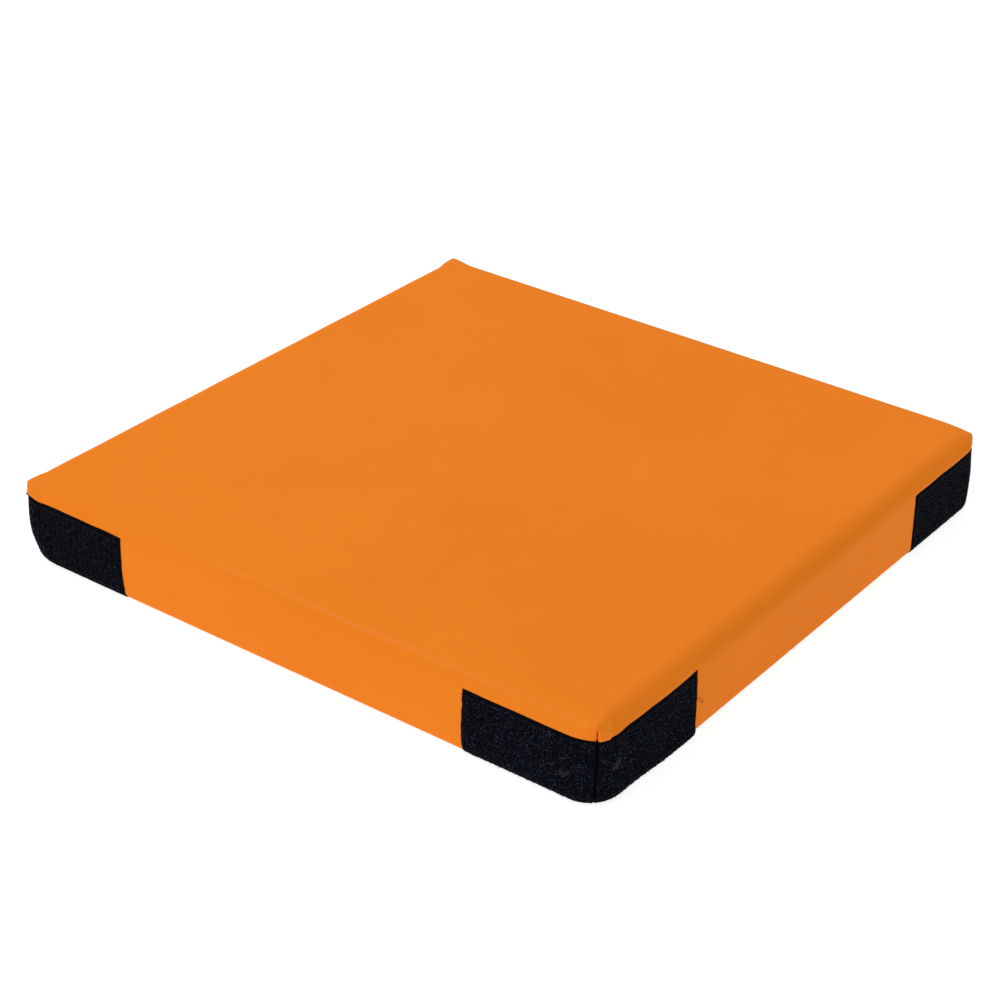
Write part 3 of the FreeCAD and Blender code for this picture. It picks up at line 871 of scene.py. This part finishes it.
def slot_ring(ring, margin):
    """A small copy of a ring round the pad, drawn in to the zip's slot less a margin."""
    scale = np.array([SLOT_LONG - margin, SLOT_WIDE - margin]) / np.abs(ring[:, :2]).max(axis=0)
    x, y = (ring[:, :2] * scale).T
    return np.column_stack([x, y + ZIP_LINE, 0 * x])


def make_grip_dots():
    """Low rubber domes in staggered rows over the base, clear of the zip and its stitches."""
    pitch, radius, sides = 9.5, 1.7, 8
    reach, corner = PANEL - 6, 18
    clear_of_zip, clear_of_end = 19, SLOT_LONG + 6
    points, faces = [], []
    turn = 2 * math.pi * np.arange(sides) / sides
    for row, y in enumerate(np.arange(-reach, reach, pitch * 0.866)):
        for x in np.arange(-reach + (row % 2) * pitch / 2, reach, pitch):
            past_x, past_y = (max(abs(at) - reach + corner, 0) for at in (x, y))
            by_zip = abs(y - ZIP_LINE) < clear_of_zip and abs(x) < clear_of_end
            if math.hypot(past_x, past_y) > corner or by_zip:
                continue
            start = len(points)
            for size, z in ((1.0, 0.42), (0.85, 0.12), (0.45, 0.0)):
                for a in turn:
                    points.append((x + radius * size * math.cos(a), y + radius * size * math.sin(a), z))
            for face in quads(3, sides, start, closed=True):
                faces.append(face[::-1])
            faces.append(tuple(start + i for i in range(sides)))
            faces.append(tuple(start + 2 * sides + i for i in range(sides))[::-1])
    make_piece("base_grip_dots", points, faces, GRIP, slot="base_fabric")


def make_foam():
    """The foam block, rounded by its cover, with the channel that the zip presses into it."""
    w = graded(fine=1.2, seam=3.0, mid=3.0, near=36.0, wide=12.0)
    gap = VINYL + TAPE_PRESS + 0.9
    per_wall = len(w) - 1
    count = 4 * per_wall
    rings = []
    for z in (1.6, BOTTOM_ROUND + 2, 30.0, 45.0, 52.0, 56.0, 58.8, TOP - 1.9):
        ring = []
        for wall in range(4):
            at = w[:-1]
            height = np.full_like(at, z)
            along, away, lean, face = outline(wall, at, height)
            push = -inset(at, height) - gap
            ring.append(to_world(wall, along + lean * push, away + face * push, height))
        rings.append(sink_corners(np.concatenate(ring)))
    base_ring = rings[0].copy()
    groove = []
    for margin, z in ((-11.5, 1.2), (-11.0, 2.0), (-4.0, 2.2), (-1.0, 6.2), (4.0, 6.4)):
        plan = slot_ring(base_ring, margin)
        groove.append(np.column_stack([plan[:, 0], plan[:, 1], np.full(count, z)]))
    loops = groove[::-1] + rings
    points = np.concatenate(loops)
    faces = quads(len(loops), count, closed=True)
    faces.append(tuple(range(count))[::-1])
    faces.append(tuple((len(loops) - 1) * count + i for i in range(count)))
    foam = make_piece("foam_core_block", points, faces, FOAM, slot="foam")
    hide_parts("foam_core")


def make_zip():
    for side, name in ((-1, "front"), (1, "rear")):
        make_zip_tape(side, name)
        make_coil_row(side, name)
        make_zip_stitches(side, name)
    for node in ("zip_end_stops", "zip_slider", "zip_pull"):
        dress_metal(node)


def make_zip_tape(side, name):
    """A woven strip that rises from the base panel to the coil, with a fine rib along it."""
    # Its cross-section, as (distance from the zip's centre line, height).
    on_panel = [(18, 1.32), (14.5, 1.35), (11, 1.4)]
    rising = [(9, 2.4), (6.8, 4.0), (5, 4.34)]
    at_coil = [(3, WEB_LOW), (1, WEB_LOW)]
    profile = np.array(on_panel + rising + at_coil)
    fine = np.linspace(0, len(profile) - 1, 36)
    across = np.interp(fine, range(len(profile)), profile[:, 0])
    level = np.interp(fine, range(len(profile)), profile[:, 1])
    reach = SLOT_LONG + 1.5
    along = np.linspace(-reach, reach, 280)
    x, row = np.meshgrid(along, range(len(fine)))
    pinch = 0.97 * smooth((np.abs(x) - COIL_END + 3) / 4) * smooth((3 - across[row]) / 2)
    y = ZIP_LINE + side * (across[row] - pinch)
    ribs = 0.05 * np.sin(across[row] * 2 * math.pi / 1.1)
    z = level[row] + ribs + 0.04 * np.sin(x * 2 * math.pi / 5)
    under = np.stack([x, y, z], -1).reshape(-1, 3)
    points = np.concatenate([under, under + (0, 0, WEB)])
    faces = slab_faces(*x.shape)
    if side < 0:
        faces = [face[::-1] for face in faces]
    piece = make_piece(f"zip_tape_{name}_web", points, faces, ZIP_CLOTH, slot="zip_tape")
    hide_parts(f"zip_tape_{name}")


def make_coil_row(side, name):
    """One row of the coil: a wound wire whose turns reach past the centre line, between the other row's."""
    pitch, per_turn = 1.6, 14
    turns = int(2 * (COIL_END - 1) / pitch)
    angle = np.linspace(0, 2 * math.pi * turns, turns * per_turn + 1)
    middle, wide, tall, level = 1.15, 1.75, 0.5, 3.58
    x = -COIL_END + 1 + pitch * (angle / (2 * math.pi)) + (0.5 * pitch if side > 0 else 0)
    squared = np.sign(np.cos(angle)) * np.abs(np.cos(angle)) ** 0.75
    y = ZIP_LINE + side * (middle + wide * squared)
    z = level + tall * np.sin(angle)
    path = np.stack([x, y, z], -1)[None]
    points, faces = tubes(path, 0.29, sides=6)
    piece = make_piece(f"zip_coil_{name}_teeth", points, faces, NYLON, slot="zip_coil")
    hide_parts(f"zip_coil_{name}")


def make_zip_stitches(side, name):
    x = np.arange(-ZIP_END, ZIP_END, 3.0)
    line = np.stack([x, ZIP_LINE + side * 14 + 0 * x, 0.34 + 0 * x], -1)
    down = np.zeros_like(line)
    down[:, 2] = -1
    points, faces = tubes(stitch_paths(line, down, 0.14, 0.3), 0.2, sides=6)
    piece = make_piece(f"zip_stitching_{name}_stitches", points, faces, BLACK_THREAD, slot="black_thread")
    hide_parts(f"zip_stitching_{name}")


def dress_metal(node):
    """The zip's metal parts keep their shape, with softened edges."""
    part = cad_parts[node]
    part.data.materials.clear()
    part.data.materials.append(METAL)
    bevel = part.modifiers.new("soft_edges", "BEVEL")
    bevel.width = 0.00018
    bevel.segments = 2
    bevel.limit_method = "ANGLE"


def make_floor():
    size, level = 6.0, -0.0002
    mesh = bpy.data.meshes.new("floor")
    corners = [(-size, -size, level), (size, -size, level), (size, size, level), (-size, size, level)]
    mesh.from_pydata(corners, [], [(0, 1, 2, 3)])
    floor = bpy.data.objects.new("floor", mesh)
    bpy.context.scene.collection.objects.link(floor)
    material, _, shader = new_material("white_floor", (0.35, 0.35, 0.35), 0.8)
    shader.inputs["Specular IOR Level"].default_value = 0.2
    shader.inputs["Emission Color"].default_value = (1, 1, 1, 1)
    shader.inputs["Emission Strength"].default_value = 0.84
    mesh.materials.append(material)


def add_area(name, place, target, size, power):
    light = bpy.data.lights.new(name, "AREA")
    light.shape = "RECTANGLE"
    light.size, light.size_y = size
    light.energy = power
    lamp = bpy.data.objects.new(name, light)
    lamp.location = place
    aim = Vector(target) - Vector(place)
    lamp.rotation_euler = aim.to_track_quat("-Z", "Y").to_euler()
    bpy.context.scene.collection.objects.link(lamp)


def sky_factor(tree, axis, low, high, at_low, at_high):
    """Brightness of the sky that changes smoothly from low to high along one axis of the view direction."""
    node = tree.nodes.new("ShaderNodeMapRange")
    node.interpolation_type = "SMOOTHSTEP"
    for socket, value in (("From Min", low), ("From Max", high), ("To Min", at_low), ("To Max", at_high)):
        node.inputs[socket].default_value = value
    tree.links.new(axis, node.inputs["Value"])
    return node.outputs["Result"]


def make_lights():
    """A white studio, darker near the horizon and on the right, with two soft lamps at the upper left."""
    world = bpy.data.worlds.new("studio")
    bpy.context.scene.world = world
    world.use_nodes = True
    tree = world.node_tree
    way = tree.nodes.new("ShaderNodeSeparateXYZ")
    tree.links.new(tree.nodes.new("ShaderNodeTexCoord").outputs["Generated"], way.inputs["Vector"])
    product = tree.nodes.new("ShaderNodeMath")
    product.operation = "MULTIPLY"
    tree.links.new(sky_factor(tree, way.outputs["Z"], 0.0, 0.6, 0.36, 1.0), product.inputs[0])
    tree.links.new(sky_factor(tree, way.outputs["X"], -0.2, 0.8, 0.95, 0.53), product.inputs[1])
    tree.links.new(product.outputs["Value"], tree.nodes["Background"].inputs["Strength"])
    tree.nodes["Background"].inputs["Color"].default_value = (1, 1, 1, 1)
    add_area("key", (-1.6, -1.5, 3.9), (0, 0, 0), (2.7, 2.7), 29)
    add_area("edge", (-2.3, -2.0, 3.3), (0, 0, 0), (0.6, 0.6), 10)


def make_camera():
    """Looks down on the front right corner, a little rolled, from just under two metres."""
    azimuth, elevation, roll = math.radians(36.13), math.radians(29.68), math.radians(1.29)
    distance = 3.624 * 2 * HALF * MM
    target = Vector((-0.0257, 0.0049, 0.0322)) * (2 * HALF * MM)
    back = Vector((
        math.sin(azimuth) * math.cos(elevation),
        -math.cos(azimuth) * math.cos(elevation),
        math.sin(elevation),
    ))
    right = Vector((0, 0, 1)).cross(back).normalized()
    up = back.cross(right)
    rolled_right = right * math.cos(roll) + up * math.sin(roll)
    rolled_up = up * math.cos(roll) - right * math.sin(roll)
    data = bpy.data.cameras.new("camera")
    data.sensor_width = 36
    data.lens = 88.8
    camera = bpy.data.objects.new("camera", data)
    rotation = Matrix((rolled_right, rolled_up, back)).transposed().to_4x4()
    camera.matrix_world = Matrix.Translation(target + back * distance) @ rotation
    bpy.context.scene.collection.objects.link(camera)
    bpy.context.scene.camera = camera


make_camera()
make_lights()
make_floor()
make_cover()
make_foam()
make_base()
make_base_seam()
make_tapes()
make_corner_seams()
make_pulled_fibres()
make_loose_thread()
make_zip()
scene = bpy.context.scene
scene.view_settings.view_transform = "Standard"
